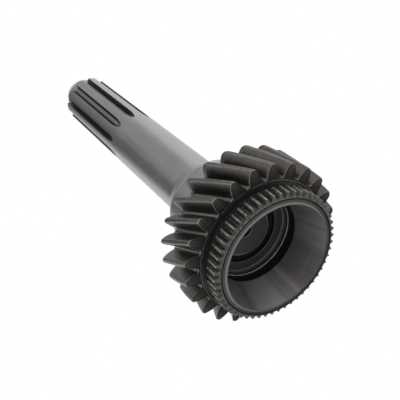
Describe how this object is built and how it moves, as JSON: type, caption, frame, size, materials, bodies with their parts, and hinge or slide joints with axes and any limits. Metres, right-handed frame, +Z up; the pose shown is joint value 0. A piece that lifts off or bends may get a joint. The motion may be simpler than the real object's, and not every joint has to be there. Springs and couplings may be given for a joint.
{
  "type": "pinion shaft",
  "caption": "Gearbox input pinion shaft: a splined shank carries a bearing seat, a helical gear and a toothed clutch ring with an open coned mouth.",
  "frame": {"origin": "centre of the mouth's rim, on the plane the rim stands on", "axes": "+Z up along the shaft's axis, from the mouth's rim to the splined nose; +X through the middle of a spline groove"},
  "size_m": [0.1136, 0.1136, 0.3299],
  "materials": {
    "ground_steel": "ground shank and seat, machined teeth, satin turned mouth"
  },
  "bodies": {
    "root": {"pinion_shaft": "ground_steel"}
  },
  "joints": []
}
